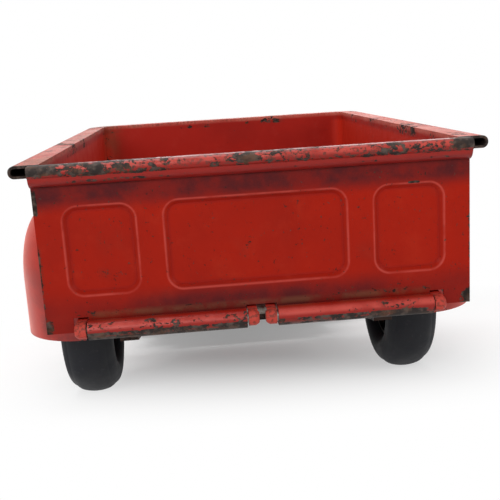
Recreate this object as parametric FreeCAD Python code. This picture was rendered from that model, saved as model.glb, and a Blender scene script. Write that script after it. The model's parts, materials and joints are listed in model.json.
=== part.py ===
"""Pressed-steel toy dump truck.

A tipping pickup-style bed with pontoon rear fenders and a drop tailgate sits on a channel
frame with a cab, a front clip and four rubber-tyred disc wheels. The bed tips about a rod at
the back of the frame. A bent-wire hand lever turns a crank arm whose pin lifts the bed.

Frame: X across the truck (left side of the truck is -X), Y forward, Z up, millimetres.
The model is built with Y = 0 at the rear axle and Z = 0 on the ground, with the bed lowered.
The bed is then tipped to its stored angle, and everything is moved so that the origin is at
the centre of the base.
"""
import FreeCAD
import Part
import math
import os

V = FreeCAD.Vector

# ---- sheet and fits ------------------------------------------------------------------------
SHEET = 0.6            # bed, cab and fender sheet
FRAME_SHEET = 0.9      # frame channel
RUN_FIT = 0.05         # radial clearance of a rod that turns in a hole
SEAM = 0.4             # gap between pressings that pass each other
REAR_EDGE = SHEET + SEAM + 0.2         # the bed's rear edge, behind the swinging tailgate
SIDE_GAP = 0.9         # gap between the tailgate's flanges and the bed's walls
REST_GAP = 0.5         # gap between the lowered bed and the rails
CAB_GAP = 1.0          # gap between the bed's front rim and the cab
PIN_GAP = 0.45         # least gap between the lift pin and the rub plate

# ---- bed, in its own frame: y = 0 at the tailgate's outer face, z = 0 at its lower edge -----
BED_L = 155.0
WALL_X = 50.5          # outer face of each side wall
BED_TOP = 40.8
FLOOR_Z = 3.3          # underside of the floor
RIM_OUT = 6.5          # how far the rolled rim stands out from the wall
RIM_H = 3.0
RIM_CORNER = 4.0       # inner corner radius of the bed in plan
AXLE_IN_BED = 67.5     # the rear axle under the lowered bed
TIP_STORED = 11.5      # degrees the bed is tipped in the stored pose

# ---- wheels and axles ----------------------------------------------------------------------
TYRE_R = 24.0
TYRE_W = 15.4
TYRE_TUCK = 0.4        # how far the tyre's centre is inside the wall's outer face
TRACK = 2 * (WALL_X - TYRE_TUCK)
TYRE_INNER = TRACK / 2 - TYRE_W / 2
RIM_R = 13.5
BEAD_SHARE = 0.62      # share of the tyre's half width that sits on the rim
TYRE_BULGE = 5.2       # height of the tyre's widest point above the rim
AXLE_R = 2.0
HUB_R = 4.5
CAP_R = 4.2

# ---- frame ---------------------------------------------------------------------------------
RAIL_X = TYRE_INNER - 5.4      # outer face of each rail
RAIL_FLANGE = 5.0
RAIL_H = 10.0
RAIL_TOP = TYRE_R + 6.5
RAIL_LOW = RAIL_TOP - RAIL_H

# ---- tipping hinge -------------------------------------------------------------------------
PIVOT_IN_BED_Y = 25.5
PIVOT_Y = PIVOT_IN_BED_Y - AXLE_IN_BED
PIVOT_Z = RAIL_TOP - 4.5
PIVOT_IN_BED_Z = PIVOT_Z - RAIL_TOP - REST_GAP
PIVOT_R = 1.6
EAR_T = 1.2
EAR_X = RAIL_X - RAIL_FLANGE - 1.5     # outer face of the bed's hinge ears
RAIL_TAIL = PIVOT_Y - 5.0

# ---- wheel wells and rear fenders, in the bed's frame --------------------------------------
WELL_R = TYRE_R + 4.0
WELL_X = TYRE_INNER - 2.1
FENDER_ARCH_R = TYRE_R + 3.0
FENDER_OUT = WALL_X + 13.8
FENDER_IN = WALL_X - 4.0
FENDER_REAR = AXLE_IN_BED - FENDER_ARCH_R - 17.5
FENDER_FRONT = AXLE_IN_BED + FENDER_ARCH_R + 13.5
FENDER_TOP = BED_TOP - 11.5
FENDER_LOW = -9.5
FENDER_SHOULDER = 24.0
FENDER_ROUND = 16.5

# ---- tailgate, in the bed's frame ----------------------------------------------------------
GATE_HALF = WALL_X + SIDE_GAP + SHEET
GATE_FLANGE = 5.0
FLANGE_DROP = 1.1      # clears the rim as the gate swings past it
GATE_BAND_Z = BED_TOP - 4.8
GATE_BEAD_OUT = 3.4
KNUCKLE_R = 2.4
KNUCKLE_Z = 1.0
KNUCKLE_Y = -2.1
WIRE_R = 1.25
LUG_R = 1.95
LUG_TOP = KNUCKLE_Z + LUG_R
LUG_SLOT = 0.7         # height of the gate's slots above the lugs
LUG_END = 0.7          # thickness of a lug's closed end
LUG_INNER = (0.8, 3.4)
KNUCKLE_X = (LUG_INNER[1] + SEAM, GATE_HALF - 10.2)
LUG_OUTER = (KNUCKLE_X[1] + SEAM, KNUCKLE_X[1] + SEAM + 2.8)
PANEL_Z = (8.9, BED_TOP - 10.1)
PANEL_MARGIN = 6.3     # from the gate's side to the outer panel
PANEL_SIDE_W = 17.3
PANEL_BETWEEN = 6.4
PANEL_OUTER = (GATE_HALF - PANEL_MARGIN - PANEL_SIDE_W, GATE_HALF - PANEL_MARGIN)
PANEL_MIDDLE = PANEL_OUTER[0] - PANEL_BETWEEN
PANELS_X = ((-PANEL_OUTER[1], -PANEL_OUTER[0]), (-PANEL_MIDDLE, PANEL_MIDDLE), PANEL_OUTER)
PANEL_CORNER = 3.8
PANEL_DEPTH = 0.9
PANEL_SLOPE = 1.1

# ---- hand lever and crank ------------------------------------------------------------------
SHAFT_Y = TYRE_R + 6.0
SHAFT_R = 1.7
SHAFT_LEAD = SHAFT_Y - PIVOT_Y         # from the tipping rod to the shaft
CRANK_L = BED_L - PIVOT_IN_BED_Y - SHAFT_LEAD - 5.5
CRANK_X = 5.0
CRANK_T = 1.5
PIN_R = 2.5
CRANK_LOWERED = 3.3                    # crank angle above level with the bed down
CRANK_RATIO = 1 + 1.0185 * SHAFT_LEAD / CRANK_L    # crank degrees for each degree of tipping
LEVER_X = RAIL_X + 7.0
LEVER_OUT = WALL_X + 6.5
LEVER_JOG = FENDER_FRONT - AXLE_IN_BED + 11.5 - SHAFT_Y
LEVER_L = LEVER_JOG + 30.0
COLLAR_R = SHAFT_R + 1.1
KNOB_R = 4.0

# ---- cab and front clip --------------------------------------------------------------------
CAB_REAR = BED_L - AXLE_IN_BED + RIM_OUT + CAB_GAP
CAB_LEN = 51.0
CAB_FRONT = CAB_REAR + CAB_LEN
CAB_HALF = 46.0
CAB_LOW = RAIL_LOW + 2.5
BELT_Z = CAB_LOW + 40.0
ROOF_Z = BELT_Z + 36.0
ROOF_HALF = CAB_HALF - 6.5
ROOF_REAR = CAB_REAR + 3.0
ROOF_FRONT = CAB_FRONT - 9.0
ARCH_R = TYRE_R + 4.0
WHEELBASE = CAB_FRONT + ARCH_R + 3.0
CLIP_OUT = TRACK / 2 + TYRE_W / 2 + 6.5        # outer face of the front fenders
CLIP_REAR = WHEELBASE - ARCH_R - 15.0
CLIP_FRONT = WHEELBASE + ARCH_R + 17.0
CLIP_TOP = TYRE_R + ARCH_R + 3.0
CLIP_LOW = CAB_LOW - 1.0
NOSE_Y = CLIP_FRONT - 5.0
COWL_HALF = CAB_HALF - 8.0
NOSE_HALF = 27.0
NOSE_ROUND = 4.0
HOOD_COWL_Z = BELT_Z
HOOD_NOSE_Z = BELT_Z - 5.0
HOOD_LOW = RAIL_TOP + SEAM
LAMP_R = 7.0
LAMP_X = NOSE_HALF + 20.0
LAMP_Z = CLIP_TOP - 11.5
GRILLE_Z = (RAIL_TOP + 2.5, HOOD_NOSE_Z - 7.0)
GRILLE_BARS = 5
BUMPER_Y = CLIP_FRONT + 4.0
BUMPER_HALF = CLIP_OUT - 4.0
BUMPER_Z = (RAIL_LOW - 1.5, RAIL_LOW + 7.5)
RAIL_NOSE = BUMPER_Y - 2.0


# ---- small helpers -------------------------------------------------------------------------
def block(x0, x1, y0, y1, z0, z1):
    return Part.makeBox(x1 - x0, y1 - y0, z1 - z0, V(x0, y0, z0))


def rod(start, end, radius):
    along = end - start
    return Part.makeCylinder(radius, along.Length, start, along)


def fuse(shapes):
    shapes = list(shapes)
    whole = shapes[0].multiFuse(shapes[1:]) if len(shapes) > 1 else shapes[0]
    return whole.removeSplitter()


def mirrored(shape):
    return shape.mirror(V(0, 0, 0), V(1, 0, 0))


def both_sides(shape):
    return [shape, mirrored(shape)]


def loop(points):
    return Part.makePolygon(list(points) + [points[0]])


def prism(points, direction):
    return Part.Face(loop(points)).extrude(direction)


def round_rect(corner, along_u, along_v, radius):
    """Face of a rectangle from corner, spanning two perpendicular vectors, with round corners."""
    u, v = V(along_u), V(along_v)
    u.normalize()
    v.normalize()
    u, v = u * radius, v * radius
    corners = [corner, corner + along_u, corner + along_u + along_v, corner + along_v]
    inward = [(v, u), (u * -1, v), (v * -1, u * -1), (u, v * -1)]
    edges = []
    starts = []
    for point, (back, ahead) in zip(corners, inward):
        centre = point + back + ahead
        middle = centre - (back + ahead) * math.sqrt(0.5)
        starts.append((point + back, point + ahead))
        edges.append(Part.Arc(point + back, middle, point + ahead).toShape())
    lines = []
    for index, (_, leave) in enumerate(starts):
        lines.append(Part.LineSegment(leave, starts[(index + 1) % 4][0]).toShape())
    ordered = [edge for pair in zip(edges, lines) for edge in pair]
    return Part.Face(Part.Wire(ordered))


def edges_where(shape, test):
    return [edge for edge in shape.Edges if test(edge)]


def spans_x(edge, tolerance=1e-3):
    box = edge.BoundBox
    return box.YLength < tolerance and box.ZLength < tolerance


def at_x(edge, x, tolerance=1e-3):
    box = edge.BoundBox
    return abs(box.XMin - x) < tolerance and abs(box.XMax - x) < tolerance


# ---- wheels --------------------------------------------------------------------------------
def tyre_profile():
    """Half section of the tyre in the (radius, width) plane: a round tread over bulged walls."""
    half = TYRE_W / 2
    bead = V(0, half * BEAD_SHARE, RIM_R)
    bulge = V(0, half, RIM_R + TYRE_BULGE)
    shoulder = V(0, half * 0.74, TYRE_R - 1.9)
    crown = V(0, 0, TYRE_R)
    tread = V(0, half * 0.42, TYRE_R - 0.42)

    def other(point):
        return V(0, -point.y, point.z)

    wall = V(0, half * 0.925, TYRE_R - 3.2)
    return Part.Face(Part.Wire([
        Part.Arc(other(tread), crown, tread).toShape(),
        Part.Arc(tread, V(0, half * 0.60, TYRE_R - 0.98), shoulder).toShape(),
        Part.Arc(shoulder, wall, bulge).toShape(),
        Part.Arc(bulge, V(0, half * 0.93, RIM_R + 2.0), bead).toShape(),
        Part.LineSegment(bead, other(bead)).toShape(),
        Part.Arc(other(bead), V(0, -half * 0.93, RIM_R + 2.0), other(bulge)).toShape(),
        Part.Arc(other(bulge), other(wall), other(shoulder)).toShape(),
        Part.Arc(other(shoulder), V(0, -half * 0.60, TYRE_R - 0.98), other(tread)).toShape(),
    ]))


def make_tyre():
    face = tyre_profile()
    # the profile lies in the Y-Z plane with the axle along Y; turn it so the axle is along X
    ring = face.revolve(V(0, 0, 0), V(0, 1, 0), 360)
    ring.rotate(V(0, 0, 0), V(0, 0, 1), -90)
    return ring


def make_wheel_disc(outward):
    """Pressed disc wheel with a dished face, a hub barrel and a bead seat inside the tyre."""
    half = TYRE_W / 2
    bore = AXLE_R + RUN_FIT
    outline = [
        (bore, -half + 1.0), (HUB_R, -half + 1.0), (HUB_R, -1.0), (RIM_R - 1.0, -1.0),
        (RIM_R - 1.0, -half * BEAD_SHARE), (RIM_R, -half * BEAD_SHARE), (RIM_R, half * BEAD_SHARE),
        (RIM_R - 1.0, half * BEAD_SHARE), (RIM_R - 2.0, 2.2), (HUB_R + 2.6, 0.6),
        (HUB_R + 1.0, 3.4), (HUB_R - 0.6, 4.4), (bore, 4.4),
    ]
    face = Part.Face(loop([V(x, r, 0) for r, x in outline]))
    disc = face.revolve(V(0, 0, 0), V(1, 0, 0), 360)
    if not outward:
        disc = mirrored(disc)
    return disc


def wheel_stations():
    """Name, X and Y of each wheel centre."""
    for end, y in (("rear", 0.0), ("front", WHEELBASE)):
        for side, sign in (("left", -1), ("right", 1)):
            yield f"{end}_{side}", sign * TRACK / 2, y


def make_axle(y):
    reach = TRACK / 2 + 5.4
    return rod(V(-reach, y, TYRE_R), V(reach, y, TYRE_R), AXLE_R)


def make_axle_caps():
    """Domed push-on caps on the four axle ends, shown as one group."""
    caps = []
    for _, x, y in wheel_stations():
        sign = 1 if x > 0 else -1
        seat = abs(x) + 4.4 + 0.2
        cap = Part.makeCylinder(CAP_R, 1.4, V(seat, y, TYRE_R), V(1, 0, 0))
        dome = Part.makeSphere(CAP_R * 1.25, V(seat + 1.4 - CAP_R * 0.75, y, TYRE_R))
        dome = dome.common(Part.makeCylinder(CAP_R, 6, V(seat + 1.4, y, TYRE_R), V(1, 0, 0)))
        cap = fuse([cap, dome]).cut(rod(V(0, y, TYRE_R), V(TRACK / 2 + 5.4, y, TYRE_R), AXLE_R))
        caps.append(cap if sign > 0 else mirrored(cap))
    return Part.makeCompound(caps)


# ---- frame ---------------------------------------------------------------------------------
def make_rail():
    """Right-hand rail: a channel open towards the centre, with its rear end cut at a slant."""
    top = RAIL_TOP
    outer = block(RAIL_X - RAIL_FLANGE, RAIL_X, RAIL_TAIL, RAIL_NOSE, RAIL_LOW, top)
    inner = block(RAIL_X - RAIL_FLANGE - 1, RAIL_X - FRAME_SHEET, RAIL_TAIL - 1, RAIL_NOSE + 1,
                  RAIL_LOW + FRAME_SHEET, top - FRAME_SHEET)
    slant = prism([V(0, RAIL_TAIL - 1, top + 1), V(0, RAIL_TAIL + 4, top + 1),
                   V(0, RAIL_TAIL - 1, RAIL_LOW + 3)], V(RAIL_X + 5, 0, 0))
    return outer.cut(inner).cut(slant)


def make_cross(y, depth, low, high):
    """Channel cross-member, open below, that fits between the rail webs."""
    half = RAIL_X - FRAME_SHEET
    outer = block(-half, half, y - depth / 2, y + depth / 2, low, high)
    inner = block(-half, half, y - depth / 2 + FRAME_SHEET, y + depth / 2 - FRAME_SHEET,
                  low - 1, high - FRAME_SHEET)
    return outer.cut(inner)


def rail_holes():
    """Cutters for the rods that the rails carry, fitted to each rod."""
    wide = RAIL_X + 5
    return [
        rod(V(-wide, 0, TYRE_R), V(wide, 0, TYRE_R), AXLE_R),
        rod(V(-wide, WHEELBASE, TYRE_R), V(wide, WHEELBASE, TYRE_R), AXLE_R),
        rod(V(-wide, PIVOT_Y, PIVOT_Z), V(wide, PIVOT_Y, PIVOT_Z), PIVOT_R),
        rod(V(-wide, SHAFT_Y, PIVOT_Z), V(wide, SHAFT_Y, PIVOT_Z), SHAFT_R + RUN_FIT),
    ]


def make_frame():
    low = RAIL_LOW + FRAME_SHEET
    high = RAIL_TOP - FRAME_SHEET
    stations = (PIVOT_Y + 18.0, SHAFT_Y - 14.0, CAB_REAR - 3.0, CAB_FRONT + 6.0, NOSE_Y - 5.0)
    crosses = [make_cross(y, 9.0, low, high) for y in stations]
    frame = fuse(both_sides(make_rail()) + crosses)
    for hole in rail_holes():
        frame = frame.cut(hole)
    return frame


def make_pivot_rod():
    """Tipping rod with a peened head outside each rail."""
    reach = RAIL_X + 1.6
    body = rod(V(-reach, PIVOT_Y, PIVOT_Z), V(reach, PIVOT_Y, PIVOT_Z), PIVOT_R)
    head = Part.makeCylinder(PIVOT_R + 1.2, 1.6, V(RAIL_X, PIVOT_Y, PIVOT_Z), V(1, 0, 0))
    head = head.makeFillet(0.8, edges_where(head, lambda e: at_x(e, RAIL_X + 1.6)))
    return fuse([body] + both_sides(head))


# ---- bed -----------------------------------------------------------------------------------
def u_outline(half, front, radius):
    """Closed plan face of the bed, square at the back and round at its front corners."""
    back = -20.0
    arc_r = Part.Arc(V(half, front - radius, 0),
                     V(half - radius * (1 - math.sqrt(0.5)), front - radius * (1 - math.sqrt(0.5)), 0),
                     V(half - radius, front, 0)).toShape()
    arc_l = Part.Arc(V(-half + radius, front, 0),
                     V(-half + radius * (1 - math.sqrt(0.5)), front - radius * (1 - math.sqrt(0.5)), 0),
                     V(-half, front - radius, 0)).toShape()
    lines = [
        Part.LineSegment(V(half, back, 0), V(half, front - radius, 0)).toShape(), arc_r,
        Part.LineSegment(V(half - radius, front, 0), V(-half + radius, front, 0)).toShape(), arc_l,
        Part.LineSegment(V(-half, front - radius, 0), V(-half, back, 0)).toShape(),
        Part.LineSegment(V(-half, back, 0), V(half, back, 0)).toShape(),
    ]
    return Part.Face(Part.Wire(lines))


def u_prism(grow, z0, z1, radius):
    """The bed's plan, grown by a distance from the wall's outer face, between two heights."""
    face = u_outline(WALL_X + grow, BED_L + grow, radius)
    face.translate(V(0, 0, z0))
    return face.extrude(V(0, 0, z1 - z0))


def rim_solid(inset):
    """Rolled rim as a flattened bar round the two sides and the front; inset gives its hollow."""
    radius = RIM_CORNER + RIM_OUT
    low, high = BED_TOP - RIM_H + inset, BED_TOP - inset
    bar = u_prism(RIM_OUT - inset, low, high, radius - inset)
    rounding = (high - low) / 2 * 0.96
    outer = edges_where(bar, lambda e: abs(e.BoundBox.ZLength) < 1e-3 and e.BoundBox.YMax > -19)
    return bar.makeFillet(rounding, outer)


def well_cutter(radius, x0, x1):
    """Cylinder round the wheel centre of the lowered bed, in the bed's frame."""
    y = AXLE_IN_BED
    z = PIVOT_IN_BED_Z + TYRE_R - PIVOT_Z
    return Part.makeCylinder(radius, x1 - x0, V(x0, y, z), V(1, 0, 0))


def make_bed_tub():
    """Floor, side walls, front wall and rolled rim, pressed from one sheet."""
    outside = u_prism(0, 0, BED_TOP - RIM_H / 2, RIM_CORNER + SHEET)
    inside = u_prism(-SHEET, FLOOR_Z + SHEET, BED_TOP + 1, RIM_CORNER)
    under = u_prism(-SHEET, -1, FLOOR_Z, RIM_CORNER)
    seat = u_prism(-SHEET, 0, BED_TOP + 1, RIM_CORNER)
    rim = rim_solid(0).cut(rim_solid(SHEET)).cut(seat)
    wall_top = u_prism(0, BED_TOP - RIM_H - 1, BED_TOP + 1, RIM_CORNER + SHEET).cut(seat)
    tub = fuse([outside.cut(inside).cut(under), rim, wall_top.common(rim_solid(0))])
    tub = tub.cut(block(-90, 90, -30, REAR_EDGE, -5, 60))
    for x0 in (WELL_X, -90):
        tub = tub.cut(well_cutter(WELL_R, x0, x0 + 90 - WELL_X))
    lugs = both_sides(make_lug(*LUG_INNER, "low")) + both_sides(make_lug(*LUG_OUTER, "high"))
    return fuse([tub] + lugs)


def make_lug(x0, x1, closed):
    """Floor tab that passes out under the gate and curls round the hinge wire.

    Its curl is rounded off and closed at one end, the low or the high one in X."""
    centre = V(x0, KNUCKLE_Y, KNUCKLE_Z)
    crown = centre + V(LUG_R - 0.35, 0, 0)
    rounded = Part.makeSphere(LUG_R + 0.1, crown).fuse(Part.makeCylinder(LUG_R, x1 - x0, crown, V(1, 0, 0)))
    curl = Part.makeCylinder(LUG_R, x1 - x0, centre, V(1, 0, 0)).common(rounded)
    start = x0 + LUG_END / 2
    y, low, high = REAR_EDGE, LUG_TOP - SHEET, FLOOR_Z + SHEET / 3
    side = [(KNUCKLE_Y, low + 0.3), (KNUCKLE_Y, LUG_TOP), (y + 1.0, LUG_TOP), (y + 1.7, high),
            (y + 3.2, high), (y + 3.2, FLOOR_Z), (y + 2.6, FLOOR_Z), (y + 1.5, low)]
    neck = prism([V(start, along, up) for along, up in side], V(x1 - start, 0, 0))
    bore = Part.makeCylinder(WIRE_R, x1 - x0, centre + V(LUG_END, 0, 0), V(1, 0, 0))
    lug = fuse([curl, neck]).cut(bore)
    if closed == "high":
        lug = lug.mirror(V((x0 + x1) / 2, 0, 0), V(1, 0, 0))
    return lug


def make_wheel_well():
    """Right-hand wheel well: an arched hump that closes the cut-out in the floor and wall."""
    outer = well_cutter(WELL_R, WELL_X, WALL_X)
    inner = well_cutter(WELL_R - SHEET, WELL_X + SHEET, WALL_X + 1)
    shell = outer.cut(inner)
    return shell.cut(block(0, 90, -50, 200, -60, FLOOR_Z))


def fender_solid(out, inner, rear, front, top, low, shoulder, rounding):
    """Right-hand pontoon: a rounded side view carried across, with its outer edge rounded off."""
    k = 1 - math.sqrt(0.5)
    edges = [
        Part.LineSegment(V(inner, rear, low), V(inner, rear, top - shoulder)).toShape(),
        Part.Arc(V(inner, rear, top - shoulder), V(inner, rear + shoulder * k, top - shoulder * k),
                 V(inner, rear + shoulder, top)).toShape(),
        Part.LineSegment(V(inner, rear + shoulder, top), V(inner, front - shoulder, top)).toShape(),
        Part.Arc(V(inner, front - shoulder, top), V(inner, front - shoulder * k, top - shoulder * k),
                 V(inner, front, top - shoulder)).toShape(),
        Part.LineSegment(V(inner, front, top - shoulder), V(inner, front, low)).toShape(),
        Part.LineSegment(V(inner, front, low), V(inner, rear, low)).toShape(),
    ]
    solid = Part.Face(Part.Wire(edges)).extrude(V(out - inner, 0, 0))
    rim = edges_where(solid, lambda e: at_x(e, out) and e.BoundBox.ZMax > low + 0.01)
    return solid.makeFillet(rounding, rim)


def make_rear_fender():
    """Right-hand rear fender: open below, with a wheel arch in its outer face."""
    skin = fender_solid(FENDER_OUT, FENDER_IN, FENDER_REAR, FENDER_FRONT, FENDER_TOP, FENDER_LOW,
                        FENDER_SHOULDER, FENDER_ROUND)
    core = fender_solid(FENDER_OUT - SHEET, FENDER_IN + SHEET, FENDER_REAR + SHEET,
                        FENDER_FRONT - SHEET, FENDER_TOP - SHEET, FENDER_LOW - 5,
                        FENDER_SHOULDER - SHEET, FENDER_ROUND - SHEET)
    shell = skin.cut(core)
    shell = shell.cut(block(0, WALL_X, -10, BED_L + 10, 0, 60))
    shell = shell.cut(block(0, WALL_X + SHEET, FENDER_REAR + 4, FENDER_FRONT - 4, -60, 60).cut(
        block(WALL_X, 90, -10, BED_L + 10, 0, 60)))
    arch = well_cutter(FENDER_ARCH_R, FENDER_IN - 1, 90)
    return shell.cut(arch)


def make_underframe():
    """Two channels under the floor with the hinge ears, tied by straps and a rub plate."""
    parts = []
    tail, nose = PIVOT_IN_BED_Y - 9.5, BED_L - 15.0
    inner = EAR_X - EAR_T
    rail = block(inner, EAR_X, tail, nose, -1.0, FLOOR_Z)
    foot = block(EAR_X - 6, EAR_X, tail, nose, FLOOR_Z - EAR_T, FLOOR_Z)
    ear_low = PIVOT_IN_BED_Z - PIVOT_R - 1.4
    ear = prism([V(inner, tail, 0), V(inner, PIVOT_IN_BED_Y - 5.0, ear_low),
                 V(inner, PIVOT_IN_BED_Y + 5.0, ear_low), V(inner, PIVOT_IN_BED_Y + 12.5, 0)],
                V(EAR_T, 0, 0))
    parts.extend(both_sides(fuse([rail, foot, ear])))
    shaft_in_bed = PIVOT_IN_BED_Y + SHAFT_LEAD
    for y in (PIVOT_IN_BED_Y + 19.5, shaft_in_bed - 5.5, nose - 12.0):
        parts.append(block(-inner, inner, y, y + 8.0, FLOOR_Z - EAR_T, FLOOR_Z))
    lift = CRANK_L * math.sin(math.radians(CRANK_LOWERED))
    rub_low = PIVOT_IN_BED_Z + PIN_R + lift + PIN_GAP
    parts.append(block(-CRANK_X - 5.0, CRANK_X + 5.0, shaft_in_bed - 5.5, BED_L - 5.0, rub_low, FLOOR_Z))
    wide = RAIL_X
    hole = rod(V(-wide, PIVOT_IN_BED_Y, PIVOT_IN_BED_Z), V(wide, PIVOT_IN_BED_Y, PIVOT_IN_BED_Z),
               PIVOT_R + RUN_FIT)
    return fuse(parts).cut(hole)


def make_gate_wires():
    """Hinge wires through the lugs and knuckles, one for each half of the gate."""
    start = V(LUG_INNER[0] + LUG_END, KNUCKLE_Y, KNUCKLE_Z)
    end = V(LUG_OUTER[1] - LUG_END, KNUCKLE_Y, KNUCKLE_Z)
    return Part.makeCompound(both_sides(rod(start, end, WIRE_R)))


# ---- tailgate ------------------------------------------------------------------------------
def gate_recess(x0, x1, depth, grow):
    """Tapered plug for one pressed panel: wide at the outer face, narrow at its floor."""
    z0, z1 = PANEL_Z

    def outline(y, shrink):
        face = round_rect(V(x0 + shrink, y, z0 + shrink), V(x1 - x0 - 2 * shrink, 0, 0),
                          V(0, 0, z1 - z0 - 2 * shrink), PANEL_CORNER - shrink)
        return face.OuterWire

    slope = PANEL_SLOPE / PANEL_DEPTH
    outer = outline(-0.5, -0.5 * slope - grow)
    inner = outline(depth, depth * slope - grow)
    return Part.makeLoft([outer, inner], True, True)


def make_tailgate():
    """Flanged pan with three sunk panels, a top bead and two hinge knuckles."""
    top = BED_TOP
    sheet = block(-GATE_HALF, GATE_HALF, 0, SHEET, 0, top)
    inside = block(-GATE_HALF, GATE_HALF, 0, SHEET + PANEL_DEPTH, 0, top)
    dishes = [gate_recess(x0, x1, PANEL_DEPTH + SHEET, SHEET).common(inside) for x0, x1 in PANELS_X]
    gate = fuse([sheet] + dishes)
    for x0, x1 in PANELS_X:
        gate = gate.cut(gate_recess(x0, x1, PANEL_DEPTH, 0))
    flange = block(GATE_HALF - SHEET, GATE_HALF, 0, GATE_FLANGE, 0, BED_TOP - RIM_H - FLANGE_DROP)
    gate = fuse([gate] + both_sides(flange) + [make_gate_bead()])
    middle, outer = LUG_INNER[1] + SEAM, [LUG_OUTER[0] - SEAM, LUG_OUTER[1] + SEAM]
    for x0, x1 in ((-middle, middle), outer, (-outer[1], -outer[0])):
        gate = gate.cut(block(x0, x1, -3, SHEET + 0.1, -1, LUG_TOP + LUG_SLOT))
    return fuse([gate] + both_sides(make_knuckle()))


def make_gate_bead():
    """Rolled top edge: a sloping band under a round bead that stands out from the gate."""
    out, top = GATE_BEAD_OUT, BED_TOP
    face = Part.Face(Part.Wire([
        Part.LineSegment(V(0, SHEET, GATE_BAND_Z), V(0, 0, GATE_BAND_Z - 0.4)).toShape(),
        Part.Arc(V(0, 0, GATE_BAND_Z - 0.4), V(0, -1.5, GATE_BAND_Z + 0.2),
                 V(0, -out + 0.9, GATE_BAND_Z + 2.0)).toShape(),
        Part.Arc(V(0, -out + 0.9, GATE_BAND_Z + 2.0), V(0, -out, top - 1.3),
                 V(0, -out + 1.3, top)).toShape(),
        Part.LineSegment(V(0, -out + 1.3, top), V(0, SHEET, top)).toShape(),
        Part.LineSegment(V(0, SHEET, top), V(0, SHEET, GATE_BAND_Z)).toShape(),
    ]))
    bead = face.extrude(V(2 * GATE_HALF, 0, 0))
    bead.translate(V(-GATE_HALF, 0, 0))
    return bead


def make_knuckle():
    """Right-hand knuckle: the gate's lower edge curled into a tube round the hinge wire."""
    x0, x1 = KNUCKLE_X
    centre = V(x0, KNUCKLE_Y, KNUCKLE_Z)
    tube = Part.makeCylinder(KNUCKLE_R, x1 - x0, centre, V(1, 0, 0))
    web = block(x0, x1, KNUCKLE_Y, SHEET, KNUCKLE_Z - KNUCKLE_R, KNUCKLE_Z - KNUCKLE_R + 1.0)
    bore = Part.makeCylinder(WIRE_R + RUN_FIT, x1 - x0, centre, V(1, 0, 0))
    drop = block(x0, x1, 0, SHEET, KNUCKLE_Z - KNUCKLE_R, 1)
    return fuse([tube, web, drop]).cut(bore)


# ---- hand lever and crank ------------------------------------------------------------------
def make_lever_rod():
    """Cross shaft and handle bent from one wire, lying forward with the bed lowered."""
    shaft = [V(RAIL_X + 3, 0, 0), V(-LEVER_X, 0, 0), V(-LEVER_X, LEVER_JOG, 0),
             V(-LEVER_OUT, LEVER_JOG + 4, 0), V(-LEVER_OUT, LEVER_L, 0)]
    runs = [rod(a, b, SHAFT_R) for a, b in zip(shaft, shaft[1:])]
    bends = [Part.makeSphere(SHAFT_R, point) for point in shaft[1:-1]]
    collar = rod(V(RAIL_X + SEAM, 0, 0), V(RAIL_X + SEAM + 1.6, 0, 0), COLLAR_R)
    return fuse(runs + bends + both_sides(collar))


def make_crank():
    """Forked arm on the shaft, with the lift pin across its tip."""
    arm = Part.Face(Part.Wire([
        Part.Arc(V(0, 0, 4.2), V(0, -4.2, 0), V(0, 0, -4.2)).toShape(),
        Part.LineSegment(V(0, 0, -4.2), V(0, CRANK_L, -2.4)).toShape(),
        Part.Arc(V(0, CRANK_L, -2.4), V(0, CRANK_L + 2.4, 0), V(0, CRANK_L, 2.4)).toShape(),
        Part.LineSegment(V(0, CRANK_L, 2.4), V(0, 0, 4.2)).toShape(),
    ])).extrude(V(CRANK_T, 0, 0))
    arm.translate(V(CRANK_X, 0, 0))
    pin = rod(V(-CRANK_X - CRANK_T, CRANK_L, 0), V(CRANK_X + CRANK_T, CRANK_L, 0), PIN_R)
    hub = rod(V(-CRANK_X, 0, 0), V(CRANK_X, 0, 0), SHAFT_R + 1.2)
    shaft = rod(V(-20, 0, 0), V(20, 0, 0), SHAFT_R)
    return fuse(both_sides(arm) + [pin, hub]).cut(shaft)


def make_knob():
    tip = V(-LEVER_OUT, LEVER_L, 0)
    ball = Part.makeSphere(KNOB_R, tip + V(0, KNOB_R * 0.6, 0))
    return ball.cut(rod(V(-LEVER_OUT, 0, 0), tip, SHAFT_R))


# ---- cab -----------------------------------------------------------------------------------
def plan_face(half, rear, front, radius, z):
    return round_rect(V(-half, rear, z), V(2 * half, 0, 0), V(0, front - rear, 0), radius)


def cab_solid(inset):
    """Cab outside: an upright lower body under a tapered, round-cornered greenhouse."""
    body = plan_face(CAB_HALF - inset, CAB_REAR + inset, CAB_FRONT - inset, 7 - inset, CAB_LOW)
    body = body.extrude(V(0, 0, BELT_Z - inset - CAB_LOW))
    belt = plan_face(CAB_HALF - 1.2 - inset, CAB_REAR + 0.6 + inset, CAB_FRONT - 0.6 - inset,
                     7 - inset, BELT_Z - inset).OuterWire
    roof = plan_face(ROOF_HALF - inset, ROOF_REAR + inset, ROOF_FRONT - inset, 9 - inset,
                     ROOF_Z - inset).OuterWire
    upper = Part.makeLoft([belt, roof], True, False)
    top_edges = edges_where(upper, lambda e: e.BoundBox.ZMin > ROOF_Z - inset - 0.01)
    upper = upper.makeFillet(7.0 - inset, top_edges)
    return fuse([body, upper])


def window_prism(points, axis, radius):
    """Rounded window cutter through the four corner points, extruded along an axis."""
    solid = prism(points, axis)
    direction = V(axis)
    direction.normalize()
    long_edges = []
    for edge in solid.Edges:
        along = edge.Vertexes[-1].Point - edge.Vertexes[0].Point
        if abs(along.dot(direction)) > axis.Length - 0.01:
            long_edges.append(edge)
    return solid.makeFillet(radius, long_edges)


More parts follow.
